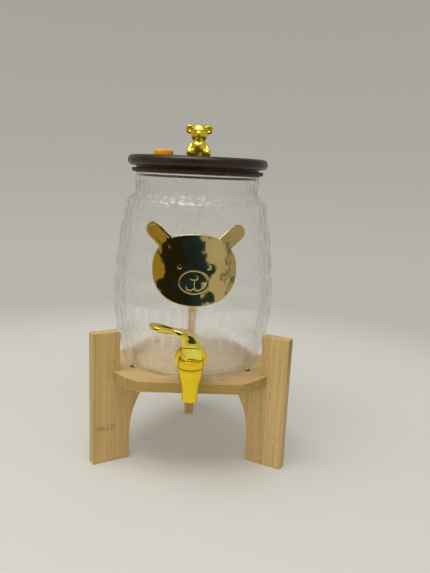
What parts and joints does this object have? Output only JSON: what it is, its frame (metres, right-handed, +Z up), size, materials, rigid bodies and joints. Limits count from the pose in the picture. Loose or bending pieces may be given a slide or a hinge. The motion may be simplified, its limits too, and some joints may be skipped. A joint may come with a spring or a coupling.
{
  "type": "glass beverage dispenser",
  "caption": "Barrel glass drink dispenser with a press lever tap, sealed lid with a bear knob and a vent plug, standing on a low bamboo stand with radial board legs.",
  "frame": {"origin": "on the floor, below the axis of the jar", "axes": "+Z up, -Y towards the front where the tap is, +X to the right seen from the front"},
  "size_m": [0.1938, 0.2169, 0.3292],
  "materials": {
    "bamboo": "sanded laminated bamboo with a clear matt lacquer",
    "screw_steel": "plain steel",
    "clear_glass": "clear pressed glass",
    "mirror_gold": "gold mirror sheet",
    "tape": "clear foam tape",
    "clear_silicone": "translucent silicone",
    "white_plastic": "moulded nylon",
    "gold_plating": "gold-plated moulded plastic, mirror bright",
    "gold_casting": "gold-plated casting, mirror bright",
    "dark_rubber": "dark brown silicone",
    "brown_lid": "moulded dark brown plastic with a satin sheen",
    "orange_silicone": "moulded orange silicone"
  },
  "bodies": {
    "stand": {"shelf_board": "bamboo", "leg_left": "bamboo", "leg_right": "bamboo", "leg_rear": "bamboo", "stand_screws": "screw_steel"},
    "jar": {"glass_jar": "clear_glass", "plaque_tape": "tape", "front_plaque": "mirror_gold", "outer_washer": "clear_silicone", "inner_washer": "clear_silicone", "shank_nut": "white_plastic", "tap_body": "gold_plating", "tap_spout": "gold_plating", "stem_seal": "dark_rubber", "tap_spring": "screw_steel"},
    "plunger": {"tap_stopper": "clear_silicone"},
    "stem": {"tap_stem": "screw_steel", "lever_pin": "screw_steel"},
    "lever": {"tap_lever": "gold_plating"},
    "lid": {"lid_disc": "brown_lid", "lid_seal": "dark_rubber", "knob_washer": "screw_steel", "knob_screw": "screw_steel", "bear_knob": "gold_casting"},
    "vent": {"vent_plug": "orange_silicone"}
  },
  "joints": [
    {"name": "jar_lift", "type": "slide", "parent": "stand", "child": "jar", "axis": [0, 0, 1], "range_m": [0, 0.12]},
    {"name": "stem_lift", "type": "slide", "parent": "jar", "child": "plunger", "axis": [0, 0, 1], "range_m": [0, 0.0025], "deforming": ["tap_spring"]},
    {"name": "lever_swivel", "type": "hinge", "parent": "plunger", "child": "stem", "pos_m": [0, -0.09625, 0.1305], "axis": [0, 0, 1], "range_deg": [-15, 195]},
    {"name": "lever_press", "type": "hinge", "parent": "stem", "child": "lever", "pos_m": [0, -0.09625, 0.1305], "axis": [0, -1, 0], "range_deg": [0, 25], "stiffness_Nm_per_rad": 0.03, "springref_deg": -17.19},
    {"name": "lid_lift", "type": "slide", "parent": "jar", "child": "lid", "axis": [0, 0, 1], "range_m": [0, 0.08]},
    {"name": "vent_pull", "type": "slide", "parent": "lid", "child": "vent", "axis": [0, 0, 1], "range_m": [0, 0.02]}
  ],
  "couplings": [
    {"joint": "stem_lift", "follows": "lever_press", "m_per_rad": 0.0055}
  ]
}
